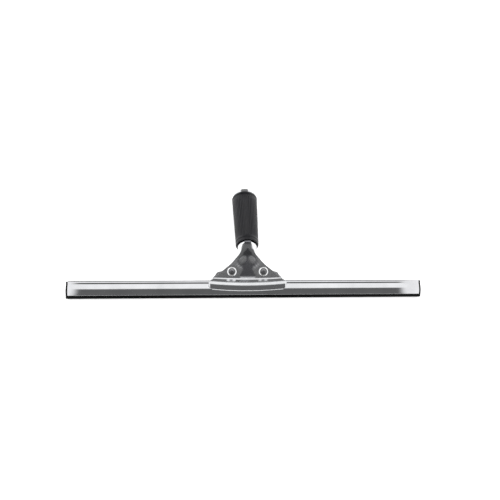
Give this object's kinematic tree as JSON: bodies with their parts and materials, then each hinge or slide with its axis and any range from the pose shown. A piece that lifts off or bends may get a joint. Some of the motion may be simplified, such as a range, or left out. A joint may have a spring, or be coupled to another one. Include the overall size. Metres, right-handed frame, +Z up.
{
  "type": "window cleaning squeegee",
  "caption": "Hand squeegee: a steel channel holding a rubber blade, clamped by a two-sheet screw jaw on a bent tube handle with a ribbed rubber grip.",
  "frame": {"origin": "middle of the object's box, at the table that it lies on, front side up", "axes": "+X along the blade, +Y from the blade's working edge to the handle's far end, +Z up from the table"},
  "size_m": [0.45, 0.1472, 0.042],
  "materials": {
    "polished_steel": "polished stainless steel",
    "formed_steel": "bright formed stainless sheet",
    "plated_fasteners": "plated steel",
    "grip_rubber": "satin moulded rubber, finely ribbed",
    "blade_rubber": "smooth natural rubber",
    "clip_plastic": "moulded plastic"
  },
  "bodies": {
    "handle": {"handle_tube": "polished_steel", "grip_sleeve": "grip_rubber", "rear_jaw_plate": "formed_steel", "rear_jaw_pad": "blade_rubber", "neck_rivet_lower": "plated_fasteners", "neck_rivet_upper": "plated_fasteners", "clamp_nut_left": "plated_fasteners", "clamp_nut_right": "plated_fasteners", "lock_washer_left": "plated_fasteners", "lock_washer_right": "plated_fasteners"},
    "front_jaw": {"front_clamp_plate": "formed_steel", "front_jaw_pad": "blade_rubber"},
    "left_cup_washer": {"cup_washer_left": "polished_steel"},
    "right_cup_washer": {"cup_washer_right": "polished_steel"},
    "left_screw": {"clamp_screw_left": "plated_fasteners"},
    "right_screw": {"clamp_screw_right": "plated_fasteners"},
    "channel": {"channel": "formed_steel"},
    "blade": {"rubber_blade": "blade_rubber"},
    "left_end_clip": {"end_clip_left": "clip_plastic"},
    "right_end_clip": {"end_clip_right": "clip_plastic"}
  },
  "joints": [
    {"name": "jaw_open", "type": "hinge", "parent": "handle", "child": "front_jaw", "pos_m": [0, -0.00626, 0.03817], "axis": [-1, 0, 0], "range_deg": [0, 3]},
    {"name": "left_washer_lift", "type": "slide", "parent": "handle", "child": "left_cup_washer", "axis": [0, -0.4149, 0.9099], "range_m": [0, 0.00245]},
    {"name": "right_washer_lift", "type": "slide", "parent": "handle", "child": "right_cup_washer", "axis": [0, -0.4149, 0.9099], "range_m": [0, 0.00245]},
    {"name": "left_screw_turn", "type": "hinge", "parent": "left_cup_washer", "child": "left_screw", "pos_m": [-0.02, -0.04418, 0.01848], "axis": [0, -0.4149, 0.9099], "range_deg": [0, 1085]},
    {"name": "right_screw_turn", "type": "hinge", "parent": "right_cup_washer", "child": "right_screw", "pos_m": [0.02, -0.04418, 0.01848], "axis": [0, -0.4149, 0.9099], "range_deg": [0, 1085]},
    {"name": "channel_slide", "type": "slide", "parent": "handle", "child": "channel", "axis": [1, 0, 0], "range_m": [-0.28, 0.28]},
    {"name": "blade_slide", "type": "slide", "parent": "channel", "child": "blade", "axis": [1, 0, 0], "range_m": [0, 0.46]},
    {"name": "left_clip_pull", "type": "slide", "parent": "channel", "child": "left_end_clip", "axis": [-1, 0, 0], "range_m": [0, 0.02]},
    {"name": "right_clip_pull", "type": "slide", "parent": "blade", "child": "right_end_clip", "axis": [1, 0, 0], "range_m": [0, 0.02]}
  ],
  "couplings": [
    {"joint": "left_washer_lift", "follows": "jaw_open", "m_per_rad": 0.045837},
    {"joint": "right_washer_lift", "follows": "jaw_open", "m_per_rad": 0.045837},
    {"joint": "left_screw_turn", "follows": "jaw_open", "ratio": 360},
    {"joint": "right_screw_turn", "follows": "jaw_open", "ratio": 360}
  ]
}
